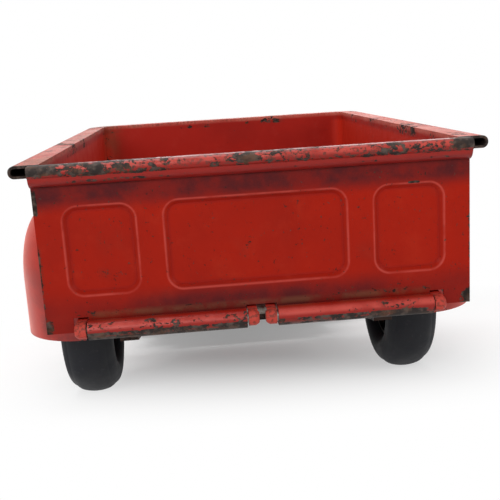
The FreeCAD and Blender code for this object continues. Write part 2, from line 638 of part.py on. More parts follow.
def side_window():
    low, high = BELT_Z + 4.0, ROOF_Z - 9.0
    corners = [V(-90, CAB_REAR + 9, low), V(-90, CAB_FRONT - 8, low),
               V(-90, ROOF_FRONT - 4, high), V(-90, ROOF_REAR + 7, high)]
    return window_prism(corners, V(180, 0, 0), 3.0)


def front_window():
    low, high = BELT_Z + 5.0, ROOF_Z - 9.0
    wide, narrow, y = CAB_HALF - 10, ROOF_HALF - 7.5, CAB_FRONT - 26
    corners = [V(-wide, y, low), V(wide, y, low), V(narrow, y, high), V(-narrow, y, high)]
    return window_prism(corners, V(0, 40, 0), 5.0)


def rear_window():
    low, high = BELT_Z + 8.0, ROOF_Z - 10.0
    wide, y = CAB_HALF - 22, CAB_REAR - 15
    corners = [V(-wide, y, low), V(wide, y, low), V(wide - 2, y, high), V(2 - wide, y, high)]
    return window_prism(corners, V(0, 30, 0), 4.0)


def door_line():
    """Shallow pressed line round the left door, as a frame-shaped cutter."""
    depth = 0.3
    wide, tall, line = CAB_LEN - 15.0, BELT_Z - CAB_LOW - 5.0, 0.8
    outer = round_rect(V(-CAB_HALF - 1, CAB_REAR + 8, CAB_LOW + 4), V(0, wide, 0), V(0, 0, tall), 4.0)
    inner = round_rect(V(-CAB_HALF - 1, CAB_REAR + 8 + line, CAB_LOW + 4 + line),
                       V(0, wide - 2 * line, 0), V(0, 0, tall - 2 * line), 4.0 - line)
    reach = V(1 + depth, 0, 0)
    return outer.extrude(reach).cut(inner.extrude(reach))


def make_cab():
    """Cab shell, open below, with its window openings and door lines."""
    inner = cab_solid(SHEET)
    below = plan_face(CAB_HALF - SHEET, CAB_REAR + SHEET, CAB_FRONT - SHEET, 7 - SHEET, CAB_LOW - 2)
    shell = cab_solid(0).cut(inner).cut(below.extrude(V(0, 0, 6)))
    for cutter in (side_window(), front_window(), rear_window()):
        shell = shell.cut(cutter)
    for line in both_sides(door_line()):
        shell = shell.cut(line)
    notch = block(-RAIL_X - SEAM, RAIL_X + SEAM, CAB_REAR - 1, CAB_FRONT + 1, CAB_LOW - 1,
                  RAIL_TOP)
    return shell.cut(notch)


def make_cab_floor():
    """Flat floor pressing that ties the cab to the frame."""
    z = RAIL_TOP
    floor = plan_face(CAB_HALF - SHEET, CAB_REAR + SHEET, CAB_FRONT - SHEET, 6.4, z)
    return floor.extrude(V(0, 0, FRAME_SHEET))


def make_glazing():
    """Clear moulded windscreen that follows the slope behind the front opening."""
    shell = cab_solid(SHEET).cut(cab_solid(SHEET + 1.0))
    keep = block(9 - CAB_HALF, CAB_HALF - 9, CAB_FRONT - 21, CAB_FRONT, BELT_Z + 2.5, ROOF_Z - 7.0)
    return shell.common(keep)


# ---- front clip ----------------------------------------------------------------------------
def hood_section(y, half, top, inset):
    """Closed X-Z section of the hood: flat sides, round shoulders and a crowned top."""
    half -= inset
    top -= inset
    low = RAIL_TOP - 2.0
    shoulder = 9.0 - inset
    crown = 1.6
    k = 1 - math.sqrt(0.5)
    left = [V(-half, y, low), V(-half, y, top - shoulder - crown)]
    right = [V(half, y, top - shoulder - crown), V(half, y, low)]
    over = [V(-half + shoulder, y, top - crown), V(0, y, top), V(half - shoulder, y, top - crown)]
    return Part.Wire([
        Part.LineSegment(left[0], left[1]).toShape(),
        Part.Arc(left[1], V(-half + shoulder * k, y, top - crown - shoulder * k), over[0]).toShape(),
        Part.Arc(over[0], over[1], over[2]).toShape(),
        Part.Arc(over[2], V(half - shoulder * k, y, top - crown - shoulder * k), right[0]).toShape(),
        Part.LineSegment(right[0], right[1]).toShape(),
        Part.LineSegment(right[1], left[0]).toShape(),
    ])


def hood_solid(inset, rear):
    """Solid inside the hood's skin, inset from the outside, with its front edges rounded."""
    front = NOSE_Y - inset
    solid = Part.makeLoft([hood_section(rear, COWL_HALF, HOOD_COWL_Z, inset),
                           hood_section(front, NOSE_HALF, HOOD_NOSE_Z, inset)], True, True)
    nose = edges_where(solid, lambda e: e.BoundBox.YMin > front - 0.01 and e.BoundBox.ZLength > 0.01)
    return solid.makeFillet(NOSE_ROUND - inset, nose)


def make_hood():
    """Hood and nose in one pressing, open below, with the grille opening in its front."""
    shell = hood_solid(0, CAB_FRONT).cut(hood_solid(SHEET, CAB_FRONT - 1))
    shell = shell.cut(block(-90, 90, CAB_FRONT - 5, NOSE_Y + 5, 0, HOOD_LOW))
    opening = round_rect(V(-NOSE_HALF + 5, NOSE_Y - 5, GRILLE_Z[0]), V(2 * NOSE_HALF - 10, 0, 0),
                         V(0, 0, GRILLE_Z[1] - GRILLE_Z[0]), 3.0)
    return shell.cut(opening.extrude(V(0, 10, 0)))


def make_grille():
    """Grille insert: a frame with level bars, set into the nose opening."""
    half = NOSE_HALF - 5
    low, high = GRILLE_Z
    y = NOSE_Y - 2.2
    outer = round_rect(V(-half, y, low), V(2 * half, 0, 0), V(0, 0, high - low), 3.0)
    inner = round_rect(V(-half + 2, y, low + 2), V(2 * half - 4, 0, 0), V(0, 0, high - low - 4), 1.5)
    ring = outer.extrude(V(0, 2.6, 0)).cut(inner.extrude(V(0, 2.6, 0)))
    pitch = (high - low - 4) / (GRILLE_BARS + 1)
    bars = []
    for index in range(GRILLE_BARS):
        z = low + 2 + pitch * (index + 1)
        bars.append(block(-half + 1.5, half - 1.5, y, y + 1.6, z - 0.7, z + 0.7))
    post = block(-1.2, 1.2, y, y + 1.2, low + 1.5, high - 1.5)
    return fuse([ring, post] + bars)


def make_front_fender():
    """Right-hand front fender: a pontoon with its wheel arch, headlamp socket and inner edge."""
    skin = fender_solid(CLIP_OUT, NOSE_HALF + 1, CLIP_REAR, CLIP_FRONT, CLIP_TOP, CLIP_LOW, 22.0, 12.0)
    core = fender_solid(CLIP_OUT - SHEET, NOSE_HALF - 5, CLIP_REAR + SHEET, CLIP_FRONT - SHEET,
                        CLIP_TOP - SHEET, CLIP_LOW - 5, 22.0 - SHEET, 12.0 - SHEET)
    shell = skin.cut(core)
    shell = shell.cut(hood_solid(0, CAB_FRONT))
    shell = shell.cut(block(0, CAB_HALF, CLIP_REAR - 5, CAB_FRONT, 0, 90))
    arch = Part.makeCylinder(ARCH_R, 60, V(RAIL_X, WHEELBASE, TYRE_R), V(1, 0, 0))
    shell = shell.cut(arch)
    socket = Part.makeCylinder(LAMP_R - 0.6, 40, V(LAMP_X, CLIP_FRONT - 20, LAMP_Z), V(0, 1, 0))
    return shell.cut(socket).cut(block(0, RAIL_X, 0, BUMPER_Y, 0, RAIL_TOP))


def make_headlamp():
    """Right-hand headlamp: a rim with a domed lens, seated in the fender's socket."""
    base = V(LAMP_X, CLIP_FRONT, LAMP_Z)
    rim = Part.makeCylinder(LAMP_R, 1.8, base, V(0, 1, 0))
    rim = rim.makeFillet(0.8, edges_where(rim, lambda e: e.BoundBox.YMin > CLIP_FRONT + 1.7))
    shank = Part.makeCylinder(LAMP_R - 0.8, 4.0, base + V(0, -4.0, 0), V(0, 1, 0))
    pocket = Part.makeCylinder(LAMP_R - 1.6, 3.0, base + V(0, 0.8, 0), V(0, 1, 0))
    return fuse([rim, shank]).cut(pocket)


def make_lens():
    """Right-hand lens: a shallow dome that fills the headlamp's pocket."""
    radius = LAMP_R - 1.6
    base = V(LAMP_X, CLIP_FRONT + 0.8, LAMP_Z)
    ball = Part.makeSphere(radius * 1.6, base + V(0, 2.2 - radius * 1.6, 0))
    return ball.common(Part.makeCylinder(radius, 5.0, base, V(0, 1, 0)))


def make_bumper():
    """Curved channel bumper with two brackets back to the rails."""
    low, high = BUMPER_Z
    sag = 5.0
    k = BUMPER_HALF

    def bow(y, shrink):
        return Part.Arc(V(-k + shrink, y - sag, 0), V(0, y, 0), V(k - shrink, y - sag, 0)).toShape()

    front, back = bow(BUMPER_Y + 2.0, 0), bow(BUMPER_Y + 0.6, 0.4)
    left, right = [Part.LineSegment(front.Vertexes[i].Point, back.Vertexes[i].Point).toShape()
                   for i in (0, 1)]
    face = Part.Face(Part.Wire([front, right, back, left]))
    face.translate(V(0, 0, low))
    bar = face.extrude(V(0, 0, high - low))
    bracket = block(RAIL_X - FRAME_SHEET - 3, RAIL_X - FRAME_SHEET, RAIL_NOSE - 6, BUMPER_Y + 0.2,
                    RAIL_LOW + FRAME_SHEET, RAIL_LOW + 6)
    return fuse([bar] + both_sides(bracket))


# ---- assembly ------------------------------------------------------------------------------
def place_bed(shape, tip):
    """Moves a bed part from its own frame to the truck, tipped by an angle in degrees."""
    shape = shape.copy()
    shape.translate(V(0, PIVOT_Y - PIVOT_IN_BED_Y, PIVOT_Z - PIVOT_IN_BED_Z))
    shape.rotate(V(0, PIVOT_Y, PIVOT_Z), V(1, 0, 0), tip)
    return shape


def place_lever(shape, tip):
    shape = shape.copy()
    shape.translate(V(0, SHAFT_Y, PIVOT_Z))
    shape.rotate(V(0, SHAFT_Y, PIVOT_Z), V(1, 0, 0), tip)
    return shape


def build():
    """Every node, with the bed and the lever at their stored angles."""
    nodes = {
        "chassis_frame": make_frame(),
        "tipping_rod": make_pivot_rod(),
        "rear_axle": make_axle(0.0),
        "front_axle": make_axle(WHEELBASE),
        "axle_caps": make_axle_caps(),
        "cab_shell": make_cab(),
        "cab_floor": make_cab_floor(),
        "windscreen": make_glazing(),
        "hood": make_hood(),
        "grille": make_grille(),
        "front_bumper": make_bumper(),
    }
    for side, turn in (("right", lambda s: s), ("left", mirrored)):
        nodes[f"front_fender_{side}"] = turn(make_front_fender())
        nodes[f"headlamp_rim_{side}"] = turn(make_headlamp())
        nodes[f"headlamp_lens_{side}"] = turn(make_lens())
    for name, x, y in wheel_stations():
        tyre = make_tyre()
        tyre.translate(V(x, y, TYRE_R))
        disc = make_wheel_disc(x > 0)
        disc.translate(V(x, y, TYRE_R))
        nodes[f"tyre_{name}"] = tyre
        nodes[f"wheel_disc_{name}"] = disc
    bed = {
        "bed_tub": make_bed_tub(),
        "bed_underframe": make_underframe(),
        "gate_hinge_wires": make_gate_wires(),
        "tailgate": make_tailgate(),
    }
    for side, turn in (("right", lambda s: s), ("left", mirrored)):
        bed[f"wheel_well_{side}"] = turn(make_wheel_well())
        bed[f"rear_fender_{side}"] = turn(make_rear_fender())
    for name, shape in bed.items():
        nodes[name] = place_bed(shape, TIP_STORED)
    crank_angle = CRANK_LOWERED + CRANK_RATIO * TIP_STORED
    for name, shape in (("lever_rod", make_lever_rod()), ("crank_arm", make_crank()),
                        ("lever_knob", make_knob())):
        nodes[name] = place_lever(shape, crank_angle)
    return nodes


def centre_on_base(nodes):
    """Moves the truck so that the origin is at the centre of its base; returns the move in Y."""
    box = FreeCAD.BoundBox()
    for shape in nodes.values():
        box.add(shape.optimalBoundingBox(False))
    shift = -(box.YMin + box.YMax) / 2
    for shape in nodes.values():
        shape.translate(V(0, shift, 0))
    return shift


def main():
    os.makedirs("parts", exist_ok=True)
    nodes = build()
    shift = centre_on_base(nodes)
    for name, shape in nodes.items():
        shape.exportStep(os.path.join("parts", name + ".step"))
    gate = place_bed(Part.Vertex(V(0, KNUCKLE_Y, KNUCKLE_Z)), TIP_STORED).Vertexes[0].Point
    print("shift_y", round(shift, 4))
    print("tipping_rod_axis", round(PIVOT_Y + shift, 4), PIVOT_Z)
    print("lever_axis", round(SHAFT_Y + shift, 4), PIVOT_Z)
    print("gate_axis", round(gate.y + shift, 4), round(gate.z, 4))
    print("axles", round(shift, 4), round(WHEELBASE + shift, 4), TYRE_R)


if __name__ == "__main__":
    main()
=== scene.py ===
"""Looks for the pressed-steel toy dump truck: worn enamel, rubber, bare wire and plate."""
import bpy
import json
import math
from mathutils import Matrix, Vector

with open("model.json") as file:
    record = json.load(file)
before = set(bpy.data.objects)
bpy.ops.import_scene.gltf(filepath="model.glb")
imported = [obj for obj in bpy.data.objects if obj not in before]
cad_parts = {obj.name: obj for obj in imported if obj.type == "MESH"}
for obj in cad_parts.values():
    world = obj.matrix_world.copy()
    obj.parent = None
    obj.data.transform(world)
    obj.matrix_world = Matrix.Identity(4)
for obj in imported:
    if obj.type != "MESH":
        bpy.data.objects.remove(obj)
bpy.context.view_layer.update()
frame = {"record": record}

JOINTS = {joint["name"]: joint for joint in frame["record"]["behaviour"]["joints"]}
GATE_HINGE = Vector(JOINTS["tailgate_drop"]["pos_m"])
TILT_PIVOT = Vector(JOINTS["bed_tilt"]["pos_m"])
BED_TIP = math.radians(-JOINTS["bed_tilt"]["range_deg"][0])
PIVOT_IN_BED = Vector((0.0, 0.0255, -0.005))
WHEEL_X = JOINTS["wheel_spin_rear_right"]["pos_m"][0]
PANEL_Z = (0.0089, 0.0307)
PANEL_SIDE = (0.0284, 0.0457)
PANEL_MIDDLE = 0.0220
PANEL_CORNER = 0.0038
ROLL_Z = (0.0376, 0.0392)
RIM_TOP_Z = (0.0390, 0.0404)
TUBE_Y = (-0.0006, -0.0012)
EDGE_TURN = (0.80, 0.985)

PAINT_RED = (0.300, 0.0090, 0.0035)
# Lighter red, painted light on the bed's inner side walls.
PAINT_LIT_WALL = (0.480, 0.022, 0.008)
# Deep red: a darker tone in the paint here and there, and painted shade on the tailgate's roll, tubes and
# panel outlines.
PAINT_DEEP_AND_SHADE = (0.205, 0.0070, 0.0045)
PAINT_FADED = (0.390, 0.034, 0.024)
# Paler red: paint rubbed thin on edges, and painted highlight on the tailgate's panel outlines, roll and
# tubes.
PAINT_RUBBED_AND_HIGHLIGHT = (0.470, 0.066, 0.050)
# Pale pink: chalky paint, and painted highlight on the bed rim's top.
PAINT_CHALK_AND_HIGHLIGHT = (0.620, 0.175, 0.130)
CHALK_TINT = (1.0, 0.36, 0.30)
# Dark film of dirt; on the tailgate it is also painted shade below the bead and along the foot.
GRIME_AND_SHADE = (0.066, 0.0085, 0.0095)
PRIMER_BROWN = (0.062, 0.026, 0.018)
# Dark bare steel; also painted shade in the open rear ends of the bed's rim.
DARK_STEEL_AND_SHADE = (0.019, 0.013, 0.011)
BARE_GREY = (0.076, 0.054, 0.044)
RUST = (0.095, 0.040, 0.020)
DUST = (0.165, 0.062, 0.031)


class Graph:
    """A material's node tree, with short calls for the nodes used here."""

    def __init__(self, name):
        self.material = bpy.data.materials.new(name)
        self.material.use_nodes = True
        self.tree = self.material.node_tree
        self.tree.nodes.clear()
        self.output = self.tree.nodes.new("ShaderNodeOutputMaterial")
        coordinates = self.tree.nodes.new("ShaderNodeTexCoord")
        self.object = coordinates.outputs["Object"]

    def put(self, socket, value):
        if isinstance(value, bpy.types.NodeSocket):
            self.tree.links.new(value, socket)
        elif isinstance(value, (tuple, list, Vector)) and socket.type == "RGBA" and len(value) == 3:
            socket.default_value = (*value, 1.0)
        else:
            socket.default_value = value

    def node(self, kind, settings=None, **inputs):
        made = self.tree.nodes.new("ShaderNode" + kind)
        for key, value in (settings or {}).items():
            setattr(made, key, value)
        for key, value in inputs.items():
            self.put(made.inputs[key.replace("_", " ")], value)
        return made

    def math(self, operation, first, second=0.0, clamp=False):
        made = self.tree.nodes.new("ShaderNodeMath")
        made.operation = operation
        made.use_clamp = clamp
        self.put(made.inputs[0], first)
        self.put(made.inputs[1], second)
        return made.outputs[0]

    def add(self, first, second):
        return self.math("ADD", first, second)

    def times(self, first, second):
        return self.math("MULTIPLY", first, second)

    def product(self, first, *others):
        for other in others:
            first = self.times(first, other)
        return first

    def most(self, first, *others):
        for other in others:
            first = self.math("MAXIMUM", first, other)
        return first

    def uneven(self, scale, roughness, seed):
        """Broad patches that shift a wear level a little down or up."""
        return self.step(self.noise(scale, 4.0, roughness, seed=seed), 0.36, 0.66, -0.09, 0.12)

    def step(self, value, low, high, start=0.0, end=1.0):
        """Smooth rise of a value from start to end between low and high."""
        made = self.node("MapRange", {"interpolation_type": "SMOOTHSTEP"}, Value=value,
                         From_Min=low, From_Max=high, To_Min=start, To_Max=end)
        return made.outputs[0]

    def band(self, value, low, high, soft):
        """One between low and high, zero outside, with soft ends."""
        rise = self.step(value, low - soft, low + soft)
        fall = self.step(value, high - soft, high + soft, 1.0, 0.0)
        return self.times(rise, fall)

    def mix(self, factor, first, second):
        made = self.tree.nodes.new("ShaderNodeMix")
        made.data_type = "RGBA"
        self.put(made.inputs[0], factor)
        self.put(made.inputs[6], first)
        self.put(made.inputs[7], second)
        return made.outputs[2]

    def blend(self, factor, first, second):
        made = self.tree.nodes.new("ShaderNodeMix")
        made.data_type = "FLOAT"
        self.put(made.inputs[0], factor)
        self.put(made.inputs[2], first)
        self.put(made.inputs[3], second)
        return made.outputs[0]

    def noise(self, scale, detail=4.0, roughness=0.55, vector=None, seed=0.0, distortion=0.0):
        where = self.node("Mapping", None, Vector=vector or self.object,
                          Location=(seed * 0.37, seed * 0.53, seed * 0.71)).outputs[0]
        made = self.node("TexNoise", None, Vector=where, Scale=scale, Detail=detail,
                         Roughness=roughness, Distortion=distortion)
        return made.outputs["Fac"]

    def stretched(self, scale_xyz, vector=None):
        return self.node("Mapping", None, Vector=vector or self.object, Scale=scale_xyz).outputs[0]

    def bed_frame(self):
        """Coordinates in the bed's own frame: y from the gate's face, z from its lower edge."""
        turn = Matrix.Rotation(-BED_TIP, 3, "X")
        shift = PIVOT_IN_BED - turn @ TILT_PIVOT
        return self.node("Mapping", None, Vector=self.object, Rotation=(-BED_TIP, 0.0, 0.0),
                         Location=shift).outputs[0]

    def split(self, vector):
        made = self.node("SeparateXYZ", None, Vector=vector)
        return made.outputs[0], made.outputs[1], made.outputs[2]

    def edges(self, radius):
        """One on convex and concave edges, from how far a rounded normal turns from the true one."""
        rounded = self.node("Bevel", {"samples": 6}, Radius=radius).outputs[0]
        normal = self.node("NewGeometry").outputs["Normal"]
        made = self.tree.nodes.new("ShaderNodeVectorMath")
        made.operation = "DOT_PRODUCT"
        self.put(made.inputs[0], rounded)
        self.put(made.inputs[1], normal)
        return self.step(made.outputs["Value"], EDGE_TURN[1], EDGE_TURN[0])

    def outline(self, across, up, half, low, high, corner):
        """Distance from the rounded rectangle of this half width between two heights."""
        wide = self.math("SUBTRACT", self.math("ABSOLUTE", across), half - corner)
        middle = self.math("ABSOLUTE", self.math("SUBTRACT", up, (low + high) / 2))
        tall = self.math("SUBTRACT", middle, (high - low) / 2 - corner)
        outside = self.node("CombineXYZ", None, X=self.math("MAXIMUM", wide, 0.0),
                            Y=self.math("MAXIMUM", tall, 0.0)).outputs[0]
        length = self.tree.nodes.new("ShaderNodeVectorMath")
        length.operation = "LENGTH"
        self.put(length.inputs[0], outside)
        inside = self.math("MINIMUM", self.math("MAXIMUM", wide, tall), 0.0)
        return self.math("SUBTRACT", self.add(length.outputs["Value"], inside), corner)

    def bump(self, height, distance, strength=1.0, normal=None):
        made = self.node("Bump", None, Height=height, Distance=distance, Strength=strength)
        if normal:
            self.put(made.inputs["Normal"], normal)
        return made.outputs[0]

    def finish(self, **inputs):
        shader = self.node("BsdfPrincipled", None, **inputs)
        self.tree.links.new(shader.outputs[0], self.output.inputs[0])
        return self.material


def chips(graph, weight, vector=None, seed=0.0):
    """Mask of bare metal: none where the weight is 0, half of it at 0.5, all at 1."""
    small = graph.noise(820.0, 3.0, 0.6, vector, seed=seed)
    large = graph.noise(300.0, 5.0, 0.62, vector, seed=seed + 3.0, distortion=0.5)
    field = graph.add(graph.times(small, 0.40), graph.times(large, 0.60))
    level = graph.step(weight, 0.0, 1.0, 0.80, 0.20)
    over = graph.math("SUBTRACT", field, level)
    return graph.step(over, 0.0, 0.016)


def worn_enamel(name, base, deep, faded, weight_of, tint_of=None, seed=0.0, gloss=0.30, fine=1.0,
                shine=0.14, pitted=0.735, chalk=0.0):
    """Old enamel over steel. weight_of(graph) gives how worn each point is, and tint_of(graph, colour) lays
    dirt, dust, painted shade and painted highlight over the paint. A larger fine gives smaller chips, a
    lower pitted more pits, and chalk adds a pale bloom at grazing angles. shine is a value, or a function of
    the graph."""
    graph = Graph(name)
    shine = shine(graph) if callable(shine) else shine
    weight = weight_of(graph)
    chip = chips(graph, weight, graph.stretched((0.62 * fine, 0.62 * fine, fine)), seed)
    pits = graph.step(graph.noise(1500.0, 2.0, 0.5, seed=seed + 9.0), pitted, pitted + 0.025)
    bare = graph.math("MAXIMUM", chip, graph.times(pits, 0.8))
    broad = graph.noise(28.0, 4.0, 0.6, seed=seed + 1.0)
    mottled = graph.noise(140.0, 5.0, 0.65, seed=seed + 2.0)
    colour = graph.mix(graph.step(broad, 0.40, 0.72, 0.0, 0.50), base, deep)
    colour = graph.mix(graph.step(mottled, 0.50, 0.82, 0.0, 0.30), colour, faded)
    halo = graph.step(weight, 0.30, 0.62, 0.0, 0.60)
    colour = graph.mix(graph.times(halo, graph.step(mottled, 0.38, 0.62)), colour, PRIMER_BROWN)
    if tint_of:
        colour = tint_of(graph, colour)
    steel = graph.mix(graph.step(graph.noise(520.0, 4.0, 0.6, seed=seed + 5.0), 0.44, 0.66),
                      DARK_STEEL_AND_SHADE, BARE_GREY)
    rust = graph.step(graph.noise(230.0, 5.0, 0.65, seed=seed + 6.0), 0.48, 0.66, 0.0, 0.7)
    steel = graph.mix(rust, steel, RUST)
    colour = graph.mix(bare, colour, steel)
    scuff = graph.noise(60.0, 6.0, 0.7, seed=seed + 7.0)
    roughness = graph.blend(bare, graph.step(scuff, 0.35, 0.70, gloss, gloss + 0.16), 0.66)
    ripple = graph.bump(graph.noise(95.0, 2.0, 0.5, seed=seed + 8.0), 0.0002, 0.30)
    grain = graph.bump(graph.noise(1300.0, 3.0, 0.6, seed=seed + 4.0), 0.00004, 0.5, ripple)
    step_down = graph.bump(graph.math("SUBTRACT", 1.0, bare), 0.00009, 0.9, grain)
    return graph.finish(Base_Color=colour, Roughness=roughness, Specular_IOR_Level=shine,
                        Metallic=graph.times(bare, 0.12), Normal=step_down, Sheen_Weight=chalk,
                        Sheen_Roughness=0.45, Sheen_Tint=CHALK_TINT)


def gate_weight(graph):
    """Wear of the tailgate: its bead, its side edges, its lower corners and its tubes."""
    x, y, z = graph.split(graph.bed_frame())
    reach = graph.math("ABSOLUTE", x)
    uneven = graph.uneven(75.0, 0.6, 21.0)
    roll = graph.band(z, 0.0384, 0.0414, 0.0004)
    crest = graph.add(graph.add(uneven, graph.step(reach, 0.0440, 0.0510, 0.475, 0.76)),
                      graph.step(x, -0.004, -0.030, 0.0, 0.04))
    crest = graph.add(crest, graph.times(graph.band(x, -0.0050, 0.0060, 0.0030), 0.10))
    seam = graph.times(graph.band(z, 0.0377, 0.0390, 0.0004), graph.add(0.53, uneven))
    top = graph.times(roll, crest)
    crease = graph.times(graph.band(z, 0.0362, 0.0372, 0.0003), graph.add(0.40, uneven))
    outer = graph.step(reach, 0.0511, 0.0518)
    sides = graph.times(outer, graph.add(0.46, graph.times(uneven, 1.6)))
    near_side = graph.times(graph.step(reach, 0.0500, 0.0515), graph.add(0.37, uneven))
    strip = graph.product(graph.step(x, -0.0504, -0.0512), graph.band(z, 0.0285, 0.0355, 0.0012), 0.62)
    tube = graph.step(y, -0.0008, -0.0014)
    under = graph.product(tube, graph.step(z, 0.0012, -0.0006), graph.add(0.60, uneven))
    line = graph.product(tube, graph.band(z, -0.0002, 0.0010, 0.0003), graph.add(0.58, uneven))
    tube_top = graph.product(tube, graph.step(z, 0.0040, 0.0030), graph.add(0.36, uneven))
    foot = graph.times(graph.band(z, 0.0034, 0.0056, 0.0008), graph.add(0.36, uneven))
    edge = graph.times(graph.edges(0.0006), graph.add(0.34, uneven))
    corner = graph.product(graph.step(x, 0.0455, 0.0515), graph.step(z, 0.0060, 0.0022), 0.66)
    low_left = graph.product(graph.step(x, -0.0475, -0.0515), graph.step(z, 0.0070, 0.0020), 0.58)
    cluster = graph.times(graph.band(x, -0.0400, -0.0320, 0.0020), graph.band(z, 0.0112, 0.0150, 0.0016))
    fleck = graph.times(graph.band(x, 0.0368, 0.0398, 0.0006), graph.band(z, 0.0306, 0.0312, 0.0003))
    scattered = graph.step(graph.noise(52.0, 3.0, 0.6, seed=27.0), 0.44, 0.66, 0.14, 0.375)
    total = graph.most(top, sides, seam, crease, near_side, strip, under, line, tube_top, foot, edge,
                       corner, low_left, graph.add(scattered, graph.times(cluster, 0.17)),
                       graph.times(fleck, 0.85))
    return graph.math("MINIMUM", total, 1.0)


def gate_tint(graph, colour):
    """Painted shade with some dirt below the bead and along the foot, dust above the tubes, and painted
    highlight and shade on the panel outlines, the roll and the tubes.
    """
    x, y, z = graph.split(graph.bed_frame())
    reach = graph.math("ABSOLUTE", x)
    cloud = graph.noise(120.0, 5.0, 0.65, seed=31.0)
    thick = graph.step(cloud, 0.34, 0.66, 0.60, 1.0)
    tube = graph.step(y, *TUBE_Y)
    # Painted shade with some dirt: the gate is darker below its bead and along its foot above the tubes.
    shade_under_bead = graph.times(graph.step(z, 0.0285, 0.0330), graph.step(z, 0.0376, 0.0362))
    middle = graph.step(reach, 0.040, 0.018, 0.40, 1.0)
    foot = graph.times(graph.step(z, 0.0110, 0.0055, 0.0, 0.95), middle)
    foot = graph.times(foot, graph.math("SUBTRACT", 1.0, tube))
    grime_and_shade = graph.times(graph.most(shade_under_bead, foot), thick)
    colour = graph.mix(grime_and_shade, colour, GRIME_AND_SHADE)
    side = graph.math("SUBTRACT", reach, (PANEL_SIDE[0] + PANEL_SIDE[1]) / 2)
    side = graph.outline(side, z, (PANEL_SIDE[1] - PANEL_SIDE[0]) / 2, *PANEL_Z, PANEL_CORNER)
    centre = graph.outline(x, z, PANEL_MIDDLE, *PANEL_Z, PANEL_CORNER)
    nearest = graph.math("MINIMUM", side, centre)
    # Painted highlight in a thin pale line along each panel's outline, and painted shade in a band just
    # inside it.
    ridge = graph.times(graph.band(nearest, -0.00025, 0.00020, 0.00022),
                        graph.step(cloud, 0.32, 0.56, 0.22, 0.62))
    groove_shade = graph.times(graph.band(nearest, -0.00150, -0.00085, 0.00030), 0.45)
    colour = graph.mix(groove_shade, colour, PAINT_DEEP_AND_SHADE)
    colour = graph.mix(ridge, colour, PAINT_RUBBED_AND_HIGHLIGHT)
    # Painted shade: the roll and the tubes are darkened towards deep red around their highlight.
    roll = graph.step(z, *ROLL_Z)
    colour = graph.mix(graph.times(graph.most(roll, tube), 0.65), colour, PAINT_DEEP_AND_SHADE)
    # Painted highlight: a pale band along the roll's crest and along the upper part of each tube.
    painted_highlight = graph.most(graph.times(roll, graph.band(z, 0.0394, 0.0406, 0.0006)),
                         graph.times(tube, graph.band(z, 0.0016, 0.0029, 0.0005)))
    painted_highlight = graph.times(painted_highlight, graph.step(cloud, 0.34, 0.60, 0.30, 0.80))
    colour = graph.mix(painted_highlight, colour, PAINT_RUBBED_AND_HIGHLIGHT)
    specks = graph.product(graph.step(graph.noise(1250.0, 3.0, 0.6, seed=33.0), 0.52, 0.60), roll,
                           graph.step(cloud, 0.36, 0.56, 0.30, 0.85))
    colour = graph.mix(specks, colour, PRIMER_BROWN)
    belly = graph.times(tube, graph.step(z, 0.0006, -0.0006, 0.0, 0.80))
    colour = graph.mix(belly, colour, PRIMER_BROWN)
    dust = graph.product(graph.band(z, 0.0034, 0.0048, 0.0006),
                         graph.step(cloud, 0.42, 0.60, 0.05, 0.50), graph.step(reach, 0.043, 0.038))
    return graph.mix(dust, colour, DUST)


def gate_shine(graph):
    """The flat sheet has gone dull; the roll and the tubes, rubbed by hands, keep a little shine."""
    _, y, z = graph.split(graph.bed_frame())
    curved = graph.most(graph.step(z, *ROLL_Z), graph.step(y, *TUBE_Y))
    return graph.blend(curved, 0.07, 0.25)


def tub_weight(graph):
    """Wear of the bed: the flat top of its rim first, then its corners and floor."""
    x, y, z = graph.split(graph.bed_frame())
    reach = graph.math("ABSOLUTE", x)
    uneven = graph.uneven(60.0, 0.62, 41.0)
    rim = graph.times(graph.step(z, 0.0372, 0.0382), graph.add(0.38, uneven))
    floor = graph.product(graph.step(z, 0.0060, 0.0042), graph.step(y, 0.0005, 0.0020),
                          graph.add(0.44, uneven))
    edge = graph.times(graph.edges(0.0007), graph.add(0.36, uneven))
    rear = graph.times(graph.step(y, 0.0070, 0.0010), graph.step(reach, 0.042, 0.050, 0.0, 0.50))
    lugs = graph.times(graph.step(y, 0.0010, -0.0002), graph.add(0.26, uneven))
    corner = graph.times(graph.step(x, -0.040, -0.048), graph.step(y, 0.145, 0.152, 0.0, 0.44))
    rear_end = graph.times(graph.step(y, 0.0030, 0.0012), graph.step(z, 0.0368, 0.0376, 0.0, 0.85))
    scattered = graph.step(graph.noise(50.0, 3.0, 0.6, seed=44.0), 0.46, 0.70, 0.08, 0.34)
    return graph.math("MINIMUM", graph.most(rim, floor, edge, rear, lugs, corner, rear_end, scattered), 1.0)


